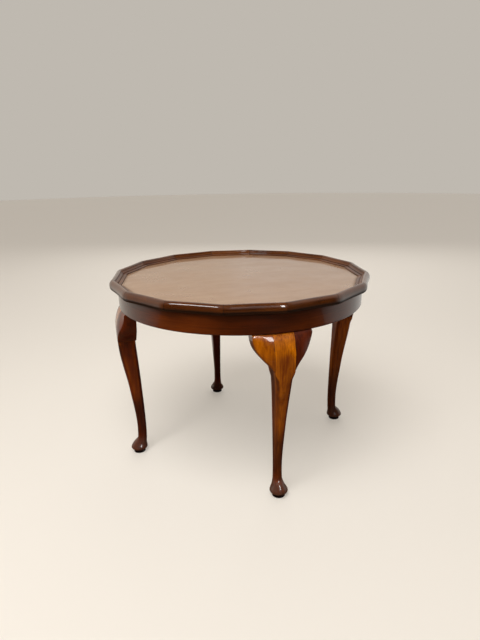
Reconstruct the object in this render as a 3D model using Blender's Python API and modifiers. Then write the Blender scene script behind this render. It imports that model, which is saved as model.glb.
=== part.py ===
"""A round coffee table with a raised, scalloped rim and four cabriole legs.

Metres, +Z up. The origin is on the floor under the middle of the top, and the front leg stands on -Y.
The table comes apart as a joiner would take it apart: a top panel with a rim of mitred mouldings, an
apron hoop under it, legs notched behind the hoop, knee ears glued beside them, and glue blocks and
screws that hold the posts to the hoop and the hoop to the top.
"""

from math import cos, pi, radians, sin, sqrt

import bmesh
import bpy
import numpy as np
from mathutils import Matrix, Vector
from mathutils.geometry import interpolate_bezier

# Overall sizes and the clearance between pieces that touch
TABLE_HEIGHT = 0.475
POINT_RADIUS = 0.332
SCALLOP_COUNT = 16
SCALLOP_HOLLOW = 0.0017
CLEARANCE = 0.0003

# Top panel and rim moulding, seen in section
LIP_HEIGHT = 0.013
PANEL_THICKNESS = 0.009
REBATE_DEPTH = 0.003
RIM_SKIRT = 0.012
UNDERSIDE_LIP = 0.002
BULGE_RISE = 0.0105
UNDERCUT = 0.0065
REBATE_INSET = 0.0125
RIDGE_INSET = 0.010
RIDGE_SHOULDER_WIDTH = 0.004
RIDGE_SHOULDER_DROP = 0.003
COVE_WIDTH = 0.0064
FILLET_WIDTH = 0.0006
FILLET_HEIGHT = 0.0012
OVOLO_WIDTH = 0.008
OVOLO_HEIGHT = 0.0025
INNER_EDGE = 0.001
MITRE_ALLOWANCE = 1.2

# Apron hoop
APRON_SETBACK = 0.0215
APRON_THICKNESS = 0.012
APRON_HEIGHT = 0.047
APRON_ROUNDING = 0.002

# Cabriole legs, from the floor up: insets are measured inwards from the apron's face, reaches outwards
LEG_NAMES = ("front", "right", "back", "left")
PAD_DIAMETER = 0.030
PAD_HEIGHT = 0.005
FOOT_DIAMETER = 0.045
FOOT_BELLY_RISE = 0.008
FOOT_TOP_RISE = 0.011
FOOT_TOP_DIAMETER = 0.037
FOOT_INSET = 0.0195
INSTEP_RISE = 0.012
INSTEP_DEPTH = 0.026
INSTEP_WIDTH = 0.0215
INSTEP_INSET = 0.0257
ANKLE_HEIGHT = 0.070
ANKLE_DEPTH = 0.0228
ANKLE_WIDTH = 0.0175
ANKLE_INSET = 0.030
SHANK_DEPTH = 0.031
SHANK_WIDTH = 0.0235
SHANK_INSET = 0.0224
CALF_DROP = 0.024
CALF_DEPTH = 0.0429
CALF_WIDTH = 0.0368
CALF_INSET = 0.0101
NECK_DEPTH = 0.0425
NECK_REACH = 0.0128
KNEE_DROP = 0.052
KNEE_DEPTH = 0.0463
KNEE_REACH = 0.0137
KNEE_TOP_DROP = 0.013
KNEE_TOP_REACH = 0.0065
SHOULDER_REACH = 0.0015
POST_WIDTH = 0.046

# How round the legs' corners are, from square at 0 to round at 1
FOOT_ROUNDNESS = 1.0
INSTEP_ROUNDNESS = 0.95
ANKLE_ROUNDNESS = 0.8
SHANK_ROUNDNESS = 0.6
CALF_ROUNDNESS = 0.4
NECK_ROUNDNESS = 0.1
POST_ROUNDNESS = 0.08

# Knee ears
EAR_REACH = 0.043
EAR_DROP = 0.082
EAR_NOSE_HEIGHT = 0.008
EAR_NOSE_TAPER = 0.006
EAR_LOWER_HANDLE = (0.32, 0.71)
EAR_UPPER_HANDLE = (0.95, 0.58)

# Glue blocks and countersunk screws
BLOCK_LENGTH = 0.040
BLOCK_DEPTH = 0.022
BLOCK_RISE = 0.015
SCREW_HEAD_DIAMETER = 0.0084
SCREW_HEAD_HEIGHT = 0.0026
SCREW_DIAMETER = 0.0042
SCREW_POINT = 0.004
POST_SCREW_EDGE = 0.013
POST_SCREW_COVER = 0.004
PANEL_SCREW_COVER = 0.002

# How finely round shapes are divided
HOOP_SEGMENTS = 96
SCREW_SEGMENTS = 8
SCALLOP_STEPS = 4
RIDGE_STEPS = 3
MOULDING_STEPS = 2
CORNER_STEPS = 3
EAR_STATIONS = 8
EAR_FACE_STEPS = 5
RINGS_BETWEEN_STATIONS = 3
SMOOTH_ANGLE = radians(35)
MERGE_DISTANCE = 0.00001

# Heights and radii that follow from the sizes above
panel_top = TABLE_HEIGHT - LIP_HEIGHT
panel_bottom = panel_top - PANEL_THICKNESS
tongue_top = panel_top - REBATE_DEPTH
rim_width = RIDGE_INSET + RIDGE_SHOULDER_WIDTH + COVE_WIDTH + FILLET_WIDTH + OVOLO_WIDTH
apron_top = panel_bottom - CLEARANCE
apron_bottom = apron_top - APRON_HEIGHT
shoulder = apron_bottom - CLEARANCE
apron_radius = POINT_RADIUS - APRON_SETBACK
apron_inner = apron_radius - APRON_THICKNESS
post_outer = apron_inner - CLEARANCE
knee_inner = apron_radius + KNEE_REACH - KNEE_DEPTH
ear_start = POST_WIDTH / 2 + CLEARANCE
block_bottom = apron_bottom + BLOCK_RISE


def clear_scene():
    for old in list(bpy.data.objects):
        bpy.data.objects.remove(old, do_unlink=True)


def new_collection(name):
    collection = bpy.data.collections.new(name)
    bpy.context.scene.collection.children.link(collection)
    return collection


def finish(name, colour, roughness, metallic=0.0):
    """A plain Principled material."""
    material = bpy.data.materials.new(name)
    material.use_nodes = True
    shader = material.node_tree.nodes["Principled BSDF"]
    shader.inputs["Base Color"].default_value = (*colour, 1.0)
    shader.inputs["Roughness"].default_value = roughness
    shader.inputs["Metallic"].default_value = metallic
    return material


class Table:
    """The collections, the empty that carries every part, and the materials."""

    def __init__(self):
        self.parts = new_collection("scalloped_coffee_table")
        self.cutters = new_collection("cutters")
        self.root = bpy.data.objects.new("table", None)
        self.parts.objects.link(self.root)
        self.top_walnut = finish("polished_top_walnut", (0.21, 0.075, 0.028), 0.16)
        self.rim_walnut = finish("polished_rim_walnut", (0.15, 0.048, 0.016), 0.18)
        self.apron_walnut = finish("polished_apron_walnut", (0.12, 0.032, 0.010), 0.18)
        self.leg_walnut = finish("polished_leg_walnut", (0.26, 0.085, 0.018), 0.20)
        self.block_beech = finish("raw_beech", (0.48, 0.33, 0.19), 0.70)
        self.screw_steel = finish("screw_steel", (0.42, 0.40, 0.37), 0.40, 1.0)

    def part(self, name, mesh, material, turn=0.0):
        """A part of the table, turned about the table's axis from its place at the front."""
        part = bpy.data.objects.new(name, mesh)
        if not mesh.materials:
            mesh.materials.append(material)
        part.rotation_euler.z = turn
        part.parent = self.root
        self.parts.objects.link(part)
        return part

    def cutter(self, name, mesh):
        cutter = bpy.data.objects.new(name, mesh)
        cutter.hide_render = True
        cutter.display_type = "WIRE"
        self.cutters.objects.link(cutter)
        return cutter


def cut(part, cutters):
    for cutter in cutters:
        boolean = part.modifiers.new(cutter.name, "BOOLEAN")
        boolean.operation = "DIFFERENCE"
        boolean.solver = "EXACT"
        boolean.object = cutter


def to_mesh(name, shape):
    """A named mesh from a bmesh, smooth except at its arrises."""
    mesh = bpy.data.meshes.new(name)
    bmesh.ops.recalc_face_normals(shape, faces=shape.faces)
    shape.to_mesh(mesh)
    shape.free()
    mesh.shade_smooth()
    mesh.set_sharp_from_angle(angle=SMOOTH_ANGLE)
    return mesh


def loft(name, rings):
    """A closed solid through rings of equally many points, capped at both ends."""
    shape = bmesh.new()
    loops = [[shape.verts.new(point) for point in ring] for ring in rings]
    for low, high in zip(loops, loops[1:]):
        for here in range(len(low)):
            there = (here + 1) % len(low)
            shape.faces.new((low[here], low[there], high[there], high[here]))
    shape.faces.new(loops[0])
    shape.faces.new(loops[-1])
    return to_mesh(name, shape)


def profile_mesh(name, points, closed):
    """A line of points in the XZ plane, ready to be turned about Z."""
    edges = [(i, i + 1) for i in range(len(points) - 1)]
    if closed:
        edges.append((len(points) - 1, 0))
    mesh = bpy.data.meshes.new(name)
    mesh.from_pydata([(x, 0.0, z) for x, z in points], edges, [])
    return mesh


def turn_about_axis(obj, segments):
    screw = obj.modifiers.new("turned", "SCREW")
    screw.axis = "Z"
    screw.steps = segments
    screw.render_steps = segments
    screw.use_merge_vertices = True
    screw.merge_threshold = MERGE_DISTANCE
    screw.use_smooth_shade = True


def plate(name, outline, bottom, top):
    """A flat board: an outline in plan, filled and extruded between two heights."""
    curve = bpy.data.curves.new(name, "CURVE")
    curve.dimensions = "2D"
    curve.fill_mode = "BOTH"
    curve.extrude = (top - bottom) / 2
    spline = curve.splines.new("POLY")
    spline.points.add(len(outline) - 1)
    for point, (x, y) in zip(spline.points, outline):
        point.co = (x, y, 0.0, 1.0)
    spline.use_cyclic_u = True
    holder = bpy.data.objects.new(name, curve)
    bpy.context.scene.collection.objects.link(holder)
    graph = bpy.context.evaluated_depsgraph_get()
    flat = bpy.data.meshes.new_from_object(holder.evaluated_get(graph))
    bpy.data.objects.remove(holder)
    shape = bmesh.new()
    shape.from_mesh(flat)
    bpy.data.meshes.remove(flat)
    bmesh.ops.remove_doubles(shape, verts=shape.verts, dist=MERGE_DISTANCE)
    bmesh.ops.translate(shape, verts=shape.verts, vec=(0.0, 0.0, (top + bottom) / 2))
    return to_mesh(name, shape)


def quarter(start, end, steps, bulge_out_first):
    """A quarter of an ellipse between two points of a section, without its first point.

    It leaves the first point straight up or down, or else straight in or out, and arrives the other way.
    """
    points = []
    for step in range(1, steps + 1):
        angle = pi / 2 * step / steps
        along = (1 - cos(angle), sin(angle)) if bulge_out_first else (sin(angle), 1 - cos(angle))
        points.append((start[0] + (end[0] - start[0]) * along[0], start[1] + (end[1] - start[1]) * along[1]))
    return points


def rim_profile():
    """The moulding's section: distance in from the outer face, and height, from the rebate round to it."""
    ridge = TABLE_HEIGHT
    underside = panel_top - RIM_SKIRT
    bulge = underside + UNDERSIDE_LIP + BULGE_RISE
    foot = tongue_top + CLEARANCE
    ovolo_top = panel_top + INNER_EDGE + OVOLO_HEIGHT
    ridge_end = RIDGE_INSET + RIDGE_SHOULDER_WIDTH
    cove_end = ridge_end + COVE_WIDTH
    ovolo_start = cove_end + FILLET_WIDTH
    points = [(REBATE_INSET, underside), (UNDERCUT, underside + UNDERSIDE_LIP)]
    points += quarter(points[-1], (0.0, bulge), MOULDING_STEPS, False)
    points += quarter(points[-1], (RIDGE_INSET, ridge), RIDGE_STEPS, True)
    points += quarter(points[-1], (ridge_end, ridge - RIDGE_SHOULDER_DROP), MOULDING_STEPS, False)
    points += quarter(points[-1], (cove_end, ovolo_top + FILLET_HEIGHT), MOULDING_STEPS, True)
    points.append((ovolo_start, ovolo_top))
    points += quarter(points[-1], (rim_width, panel_top + INNER_EDGE), MOULDING_STEPS, False)
    points += [(rim_width, foot), (REBATE_INSET, foot)]
    return points


def scallop_arc():
    """The hollow arc of one scallop: how far its centre lies from the table's axis, and its radius."""
    middle = POINT_RADIUS * cos(pi / SCALLOP_COUNT) - SCALLOP_HOLLOW
    centre = (POINT_RADIUS**2 - middle**2) / (2 * SCALLOP_HOLLOW)
    return centre, centre - middle


def rim_moulding_mesh():
    """One length of moulding at the front: its section spun about the scallop's centre, mitred at both ends."""
    centre, radius = scallop_arc()
    half = pi / SCALLOP_COUNT
    overrun = MITRE_ALLOWANCE * POINT_RADIUS * sin(half) / radius
    shape = bmesh.new()
    start = Matrix.Translation((0.0, -centre, 0.0)) @ Matrix.Rotation(-overrun, 4, "Z")
    outline = [start @ Vector((0.0, radius + inset, height)) for inset, height in rim_profile()]
    section = shape.faces.new([shape.verts.new(corner) for corner in outline])
    geometry = [section, *section.edges, *section.verts]
    bmesh.ops.spin(shape, geom=geometry, cent=(0.0, -centre, 0.0), axis=(0.0, 0.0, 1.0),
                   angle=2 * overrun, steps=SCALLOP_STEPS)
    for side in (1, -1):
        outward = Vector((side * cos(half), sin(half), 0.0))
        everything = [*shape.verts, *shape.edges, *shape.faces]
        mitre = bmesh.ops.bisect_plane(shape, geom=everything, plane_co=-outward * CLEARANCE / 2,
                                       plane_no=outward, clear_outer=True)
        edges = [edge for edge in mitre["geom_cut"] if isinstance(edge, bmesh.types.BMEdge)]
        bmesh.ops.contextual_create(shape, geom=edges)
    return to_mesh("rim_moulding", shape)


def add_rim(table):
    mesh = rim_moulding_mesh()
    for number in range(SCALLOP_COUNT):
        turn = 2 * pi * (number + 0.5) / SCALLOP_COUNT
        table.part(f"rim_moulding_{number + 1:02d}", mesh, table.rim_walnut, turn)


def scallop_outline(inset):
    """The rim's scallops in plan, set in from the outer face by a distance."""
    centre, radius = scallop_arc()
    edge = radius + inset
    pitch = 2 * pi / SCALLOP_COUNT
    outline = []
    for number in range(SCALLOP_COUNT):
        for step in range(2 * SCALLOP_STEPS):
            off_middle = pitch * (step / (2 * SCALLOP_STEPS) - 0.5)
            reach = centre * cos(off_middle) - sqrt(edge**2 - (centre * sin(off_middle)) ** 2)
            angle = pitch * (number + 0.5) + off_middle - pi / 2
            outline.append((reach * cos(angle), reach * sin(angle)))
    return outline


def add_panel(table, block_holes):
    """The panel, stepped round its upper edge by the rebate that the rim sits in."""
    edge = scallop_outline(REBATE_INSET + CLEARANCE)
    field = scallop_outline(rim_width + CLEARANCE)
    levels = ((edge, panel_bottom), (edge, tongue_top), (field, tongue_top), (field, panel_top))
    mesh = loft("top_panel", [[(x, y, height) for x, y in outline] for outline, height in levels])
    panel = table.part("top_panel", mesh, table.top_walnut)
    cut(panel, block_holes)


def add_apron(table, post_holes):
    """The hoop, turned from a section with eased lower edges."""
    section = [
        (apron_radius, apron_top),
        (apron_radius, apron_bottom + APRON_ROUNDING),
        (apron_radius - APRON_ROUNDING, apron_bottom),
        (apron_inner, apron_bottom),
        (apron_inner, apron_top),
    ]
    apron = table.part("apron_hoop", profile_mesh("apron_hoop", section, True), table.apron_walnut)
    turn_about_axis(apron, HOOP_SEGMENTS)
    cut(apron, post_holes)


def notch_cutter(table):
    """The apron's space with its clearance, to cut the legs' notches."""
    outer = apron_radius + KNEE_DEPTH
    top = TABLE_HEIGHT
    section = [(outer, top), (outer, shoulder), (post_outer, shoulder), (post_outer, top)]
    cutter = table.cutter("apron_notch", profile_mesh("apron_notch", section, True))
    turn_about_axis(cutter, HOOP_SEGMENTS)
    return cutter


def leg_stations():
    """Sections of a leg from the floor up: height, outer and inner radius, width, corner roundness."""

    def section(height, middle, depth, width, roundness):
        return (height, middle + depth / 2, middle - depth / 2, width, roundness)

    foot = apron_radius - FOOT_INSET
    belly = PAD_HEIGHT + FOOT_BELLY_RISE
    foot_top = belly + FOOT_TOP_RISE
    instep = foot_top + INSTEP_RISE
    neck = shoulder - EAR_DROP
    calf = neck - CALF_DROP
    shank = (ANKLE_HEIGHT + calf) / 2
    neck_middle = apron_radius + NECK_REACH - NECK_DEPTH / 2
    knee_middle = apron_radius + KNEE_REACH - KNEE_DEPTH / 2
    post = (knee_inner, POST_WIDTH, POST_ROUNDNESS)
    return [
        section(0.0, foot, PAD_DIAMETER, PAD_DIAMETER, FOOT_ROUNDNESS),
        section(PAD_HEIGHT, foot, PAD_DIAMETER, PAD_DIAMETER, FOOT_ROUNDNESS),
        section(belly, foot, FOOT_DIAMETER, FOOT_DIAMETER, FOOT_ROUNDNESS),
        section(foot_top, foot, FOOT_TOP_DIAMETER, FOOT_TOP_DIAMETER, FOOT_ROUNDNESS),
        section(instep, apron_radius - INSTEP_INSET, INSTEP_DEPTH, INSTEP_WIDTH, INSTEP_ROUNDNESS),
        section(ANKLE_HEIGHT, apron_radius - ANKLE_INSET, ANKLE_DEPTH, ANKLE_WIDTH, ANKLE_ROUNDNESS),
        section(shank, apron_radius - SHANK_INSET, SHANK_DEPTH, SHANK_WIDTH, SHANK_ROUNDNESS),
        section(calf, apron_radius - CALF_INSET, CALF_DEPTH, CALF_WIDTH, CALF_ROUNDNESS),
        section(neck, neck_middle, NECK_DEPTH, POST_WIDTH, NECK_ROUNDNESS),
        section(shoulder - KNEE_DROP, knee_middle, KNEE_DEPTH, POST_WIDTH, POST_ROUNDNESS),
        (shoulder - KNEE_TOP_DROP, apron_radius + KNEE_TOP_REACH, *post),
        (shoulder, apron_radius + SHOULDER_REACH, *post),
    ]


def leg_section(stations, height):
    """The section at a height, on curves through the stations that never overshoot them.

    Above the last station the section stays as it is there.
    """
    table = np.array(stations)
    heights, values = table[:, 0], table[:, 1:]
    height = min(height, heights[-1])
    rises = np.diff(heights)[:, None]
    slopes = np.diff(values, axis=0) / rises
    same_way = slopes[:-1] * slopes[1:] > 0
    total = np.where(same_way, slopes[:-1] + slopes[1:], 1.0)
    inner = np.where(same_way, 2 * slopes[:-1] * slopes[1:] / total, 0.0)
    tangents = np.vstack([slopes[:1], inner, slopes[-1:]])
    here = int(np.clip(np.searchsorted(heights, height) - 1, 0, len(rises) - 1))
    rise = rises[here, 0]
    share = (height - heights[here]) / rise
    keep = 1 - share
    return (
        values[here] * keep**2 * (1 + 2 * share)
        + values[here + 1] * share**2 * (1 + 2 * keep)
        + rise * share * keep * (tangents[here] * keep - tangents[here + 1] * share)
    )


def leg_ring(stations, height):
    """A rounded rectangle at a height: +X is across the leg and -Y is outwards."""
    outer, inner, width, roundness = leg_section(stations, height)
    half_depth = (outer - inner) / 2
    half_width = width / 2
    radius = roundness * min(half_depth, half_width)
    ring = []
    for corner in range(4):
        middle_angle = pi / 4 + corner * pi / 2
        across = (half_width - radius) * (1 if cos(middle_angle) > 0 else -1)
        along = (half_depth - radius) * (1 if sin(middle_angle) > 0 else -1)
        for step in range(CORNER_STEPS + 1):
            angle = corner * pi / 2 + pi / 2 * step / CORNER_STEPS
            outwards = (outer + inner) / 2 + along + radius * sin(angle)
            ring.append((across + radius * cos(angle), -outwards, height))
    return ring


def leg_mesh():
    stations = leg_stations()
    heights = [stations[0][0]]
    for below, above in zip(stations, stations[1:]):
        straight = below[1:] == above[1:]
        steps = 1 if straight else RINGS_BETWEEN_STATIONS
        heights += [below[0] + (above[0] - below[0]) * (step + 1) / steps for step in range(steps)]
    heights.append(apron_top)
    return loft("cabriole_leg", [leg_ring(stations, height) for height in heights])


def add_legs(table, notch, post_holes):
    mesh = leg_mesh()
    for number, place in enumerate(LEG_NAMES):
        leg = table.part(f"leg_{place}", mesh, table.leg_walnut, leg_turn(number))
        cut(leg, [notch, *post_holes[place]])


def leg_turn(number):
    return 2 * pi * number / len(LEG_NAMES)


def ear_edge():
    """The ear's sawn lower edge: reach from the leg and drop below the apron, from the leg to the nose."""
    ends = (Vector((0.0, EAR_DROP)), Vector((EAR_REACH, EAR_NOSE_HEIGHT)))
    shares = (EAR_LOWER_HANDLE, EAR_UPPER_HANDLE)
    handles = [Vector((across * EAR_REACH, down * EAR_DROP)) for across, down in shares]
    return interpolate_bezier(ends[0], *handles, ends[1], EAR_STATIONS)


def ear_mesh(name, side):
    """A knee ear beside the front leg: sections across the leg, each as high as the sawn edge leaves it."""
    stations = leg_stations()
    rings = []
    for reach, drop in ear_edge():
        share = reach / EAR_REACH
        across = ear_start + reach
        hoop_bend = (across**2 - ear_start**2) / (2 * apron_radius)
        flush = apron_radius + SHOULDER_REACH
        ring = []
        for step in range(EAR_FACE_STEPS + 1):
            height = shoulder - drop * step / EAR_FACE_STEPS
            knee = leg_section(stations, height)[0]
            outwards = flush + (knee - flush) * (1 - share**2) - hoop_bend
            ring.append((side * across, -outwards, height))
        inwards = knee_inner + EAR_NOSE_TAPER * share**2 - hoop_bend
        ring.append((side * across, -inwards, shoulder - drop))
        ring.append((side * across, -inwards, shoulder))
        rings.append(ring)
    return loft(name, rings)


def add_ears(table):
    for side, hand in ((-1, "left"), (1, "right")):
        mesh = ear_mesh(f"knee_ear_{hand}", side)
        for number, place in enumerate(LEG_NAMES):
            table.part(f"knee_ear_{place}_{hand}", mesh, table.leg_walnut, leg_turn(number))


def block_plan():
    """A glue block in plan, to the right of the front post: its arc on the hoop, then its straight back."""
    start, end = ear_start, ear_start + BLOCK_LENGTH
    steps = CORNER_STEPS
    arc = []
    for step in range(steps + 1):
        across = start + (end - start) * step / steps
        arc.append((across, -sqrt(post_outer**2 - across**2)))
    back = arc[-1][1] + BLOCK_DEPTH
    return [*arc, (end, back), (start, back)]


def block_screw_place():
    """The middle of a glue block in plan, to the right of the front post."""
    outline = block_plan()
    across = [point[0] for point in outline]
    outwards = [point[1] for point in outline]
    return (min(across) + max(across)) / 2, (min(outwards) + max(outwards)) / 2


def add_blocks(table, block_holes):
    for side, hand in ((-1, "left"), (1, "right")):
        outline = [(side * across, outwards) for across, outwards in block_plan()]
        mesh = plate(f"glue_block_{hand}", outline, block_bottom, apron_top)
        for number, place in enumerate(LEG_NAMES):
            block = table.part(f"glue_block_{place}_{hand}", mesh, table.block_beech, leg_turn(number))
            cut(block, [block_holes[place, hand]])


def screw_profile(length):
    """A countersunk screw's half section, from the middle of its head at 0 down to its point."""
    return [
        (0.0, 0.0),
        (SCREW_HEAD_DIAMETER / 2, 0.0),
        (SCREW_DIAMETER / 2, -SCREW_HEAD_HEIGHT),
        (SCREW_DIAMETER / 2, SCREW_POINT - length),
        (0.0, -length),
    ]


def hole_profile(length):
    """The screw's hole, with its clearance all round, run out past the head by the screw's own length."""
    head = SCREW_HEAD_DIAMETER / 2 + CLEARANCE
    shank = SCREW_DIAMETER / 2 + CLEARANCE
    return [
        (0.0, length),
        (head, length),
        (head, 0.0),
        (shank, -SCREW_HEAD_HEIGHT),
        (shank, -length - CLEARANCE),
        (0.0, -length - CLEARANCE),
    ]


def place_screw(obj, place, tilt, turn):
    """Stands a screw at a place given at the front, tilted from upright, then turned round the table."""
    obj.location = Matrix.Rotation(turn, 4, "Z") @ Vector(place)
    obj.rotation_euler = (tilt, 0.0, turn)
    turn_about_axis(obj, SCREW_SEGMENTS)


def add_post_screws(table):
    """Screws through each post into the hoop. Returns their holes, by leg."""
    head = knee_inner + CLEARANCE
    length = apron_radius - POST_SCREW_COVER - head
    screw = profile_mesh("post_screw", screw_profile(length), False)
    hole = profile_mesh("post_screw_hole", hole_profile(length), False)
    heights = (("lower", apron_bottom + POST_SCREW_EDGE), ("upper", apron_top - POST_SCREW_EDGE))
    holes = {place: [] for place in LEG_NAMES}
    for number, place in enumerate(LEG_NAMES):
        for level, height in heights:
            spot = (0.0, -head, height)
            part = table.part(f"post_screw_{place}_{level}", screw, table.screw_steel)
            place_screw(part, spot, -pi / 2, leg_turn(number))
            cutter = table.cutter(f"post_hole_{place}_{level}", hole)
            place_screw(cutter, spot, -pi / 2, leg_turn(number))
            holes[place].append(cutter)
    return holes


def add_block_screws(table):
    """Screws up through each glue block into the panel. Returns their holes, by leg and side."""
    head = block_bottom + CLEARANCE
    length = tongue_top - PANEL_SCREW_COVER - head
    screw = profile_mesh("block_screw", screw_profile(length), False)
    hole = profile_mesh("block_screw_hole", hole_profile(length), False)
    across, outwards = block_screw_place()
    holes = {}
    for number, place in enumerate(LEG_NAMES):
        for side, hand in ((-1, "left"), (1, "right")):
            spot = (side * across, outwards, head)
            part = table.part(f"block_screw_{place}_{hand}", screw, table.screw_steel)
            place_screw(part, spot, pi, leg_turn(number))
            cutter = table.cutter(f"block_hole_{place}_{hand}", hole)
            place_screw(cutter, spot, pi, leg_turn(number))
            holes[place, hand] = cutter
    return holes


def main():
    clear_scene()
    table = Table()
    post_holes = add_post_screws(table)
    block_holes = add_block_screws(table)
    add_panel(table, list(block_holes.values()))
    add_rim(table)
    add_apron(table, [hole for holes in post_holes.values() for hole in holes])
    add_legs(table, notch_cutter(table), post_holes)
    add_ears(table)
    add_blocks(table, block_holes)


if __name__ == "__main__":
    main()
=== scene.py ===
"""The looks of a round coffee table with a scalloped rim: fine surfaces, polished walnut and a studio stage.

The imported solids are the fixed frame. Each solid is replaced by a smooth surface of the same size, worked
out on a grid of points, and finished in French-polished walnut, raw beech or plain steel.
"""

import bmesh
import bpy
import numpy as np
from bpy.props import FloatProperty, FloatVectorProperty, PointerProperty
from mathutils import Matrix, Vector


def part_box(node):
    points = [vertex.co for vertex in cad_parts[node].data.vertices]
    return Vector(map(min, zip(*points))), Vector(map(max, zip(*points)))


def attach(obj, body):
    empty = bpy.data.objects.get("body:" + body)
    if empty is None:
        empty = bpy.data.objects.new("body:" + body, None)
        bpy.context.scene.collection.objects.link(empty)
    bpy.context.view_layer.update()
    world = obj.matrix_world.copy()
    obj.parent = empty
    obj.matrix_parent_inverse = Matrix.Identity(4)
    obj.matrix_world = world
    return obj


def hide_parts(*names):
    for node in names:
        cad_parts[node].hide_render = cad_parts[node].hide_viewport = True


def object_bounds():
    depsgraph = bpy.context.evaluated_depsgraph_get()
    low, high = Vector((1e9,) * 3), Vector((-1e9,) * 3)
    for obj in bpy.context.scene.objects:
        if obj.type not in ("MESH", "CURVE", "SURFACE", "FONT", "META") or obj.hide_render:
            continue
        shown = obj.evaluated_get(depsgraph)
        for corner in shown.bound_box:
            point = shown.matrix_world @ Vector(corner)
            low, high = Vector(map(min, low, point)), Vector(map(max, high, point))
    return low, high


bl_info = {
    "name": "Scalloped Coffee Table",
    "version": (1, 0, 0),
    "blender": (4, 5, 0),
    "location": "3D View > Sidebar > Table",
    "description": "Dresses a round coffee table with a scalloped rim in polished walnut",
    "category": "Object",
}

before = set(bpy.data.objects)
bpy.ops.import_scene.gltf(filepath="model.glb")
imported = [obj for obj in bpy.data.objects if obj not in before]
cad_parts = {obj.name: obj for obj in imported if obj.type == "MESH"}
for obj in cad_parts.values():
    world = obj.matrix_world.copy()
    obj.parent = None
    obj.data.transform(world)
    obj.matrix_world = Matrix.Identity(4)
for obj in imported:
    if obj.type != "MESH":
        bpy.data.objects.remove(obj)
cad_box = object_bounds()

# Heights and radii that the frame gives
table_top = cad_box[1].z
panel_low, panel_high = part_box("top_panel")
apron_low, apron_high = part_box("apron_hoop")
block_low, block_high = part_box("glue_block_front_right")

# Counts and the clearance between pieces that touch
SCALLOPS = 16
LEG_NAMES = ("front", "right", "back", "left")
HANDS = {"left": -1, "right": 1}
CLEARANCE = 0.0003
HALF_SCALLOP = np.pi / SCALLOPS
QUARTER_TURN = np.pi / 2

# How finely the surfaces are divided
PANEL_RINGS = 36
PANEL_STEPS = 24
ARC_ROWS = 41
CORNER_STEPS = 8
HOOP_ROWS = 257
LEG_RINGS = 220
LEG_CORNER_STEPS = 10
LEG_FLAT_STEPS = 6
EAR_ROWS = 41
EAR_FACE_ROWS = 24
FACE_ROWS = 16
BLOCK_STEPS = 12
BACKDROP_SIDES = 64
SMOOTH_ANGLE = np.radians(32)

# Rings of the panel as shares of the way out: even ones, closer ones beside the rim, and where the darkening
# towards the rim starts
EVEN_RINGS = (0.02, 0.94)
OUTER_RINGS = (0.965, 0.98, 0.99, 1.0)
CORNER_DARK_SHARE = 0.975

# Roundness of a leg's corners from the floor up, from 0 for square to 1 for a circle
FOOT_ROUNDNESS = 1.0
INSTEP_ROUNDNESS = 0.95
ANKLE_ROUNDNESS = 0.8
SHANK_ROUNDNESS = 0.6
CALF_ROUNDNESS = 0.4
NECK_ROUNDNESS = 0.03
POST_ROUNDNESS = 0.012

# Thickness of the bent hoop, and how far its lower edges and the panel's upper edge are rounded
APRON_THICKNESS = 0.012
APRON_EASING = 0.002
PANEL_EASING = 0.0004

# Handles of the ears' sawn edge, as shares of their reach and of their drop
EAR_REACH_HANDLES = (0.32, 0.95)
EAR_DROP_HANDLES = (0.71, 0.58)

# Glue blocks: along the hoop, away from it, half their depth, and the chamfer at top and bottom
BLOCK_LENGTH = 0.040
BLOCK_DEPTH = 0.022
BLOCK_HALF_DEPTH = 0.013
BLOCK_CHAMFER = 0.0012

# How far a screw's head stands out of its hole
HEAD_PROUD = 0.0004

# Steps through the plank from one piece to the next, so that no two show the same grain
RIM_STEP = np.array([0.61, 0.083, 0.029])
LEG_STEP = np.array([0.53, 0.31, 0.11])
EAR_STEP = np.array([0.47, 0.21, 0.07])
EAR_SIDE_STEP = np.array([0.2, 0.4, 0.0])
BLOCK_STEP = np.array([0.3, 0.0, 0.0])
BLOCK_SIDE_STEP = np.array([0.0, 0.2, 0.0])

# Mean sizes in millimetres of the rub marks, of the patches of haze and of the waves in the film
RUB_MM = 4.54545
HAZE_MM = 71.4286
WAVE_MM = 33.3333

# Length and width in millimetres of the flecks in raw wood, and how dark they are beside the rest
WALNUT_FLECK_MM = (60, 2.5)
WALNUT_FLECK = 0.5
BEECH_FLECK_MM = (4, 0.7)
BEECH_FLECK = 0.62

# How much of the clear film the thickest dirt and painted shade cover, and how much of it the rim's hollows
# have
DIRT_AND_SHADE_COVER = 0.85
HOLLOW_FILM = 0.35

# Widths of the rubbed ridge, of the dirt in the quirk and of the dirt in a mitre
RIDGE_WIDTH = 0.003
QUIRK_WIDTH = 0.0016
MITRE_WIDTH = 0.0006

# How far painted shadow reaches down the apron from the rim and darkening up from its lower edge, and how its
# colour comes and goes
RIM_SHADOW = 0.007
LOWER_EDGE_DARK = 0.004
VENEER_WAVES = 5.5
VENEER_START = 2.53

# Share of a leg's half depth, from -1 inside to 1 outside, below which its face got only a thin polish
INNER_FACE = -0.6

# How dark each leg is, in the order of LEG_NAMES, from its polish and from painted shade, and a shade more
# for all
LEG_STAIN_AND_SHADE = (0.2, 0.0, 1.0, 0.52)
LEG_SHADE = 0.02

# Painted shade on a leg's sides under the ears and along its corners, and the length over which that fades
# downwards
SIDE_SHADE = (1.0, 0.1, 1.0, 1.0)
SIDE_FADE = (0.16, 0.08, 0.08, 0.08)

# Painted shade: how much darker a leg's outer face grows towards its right
FACE_LEAN = (0.4, 0.0, 0.0, 0.0)

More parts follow.
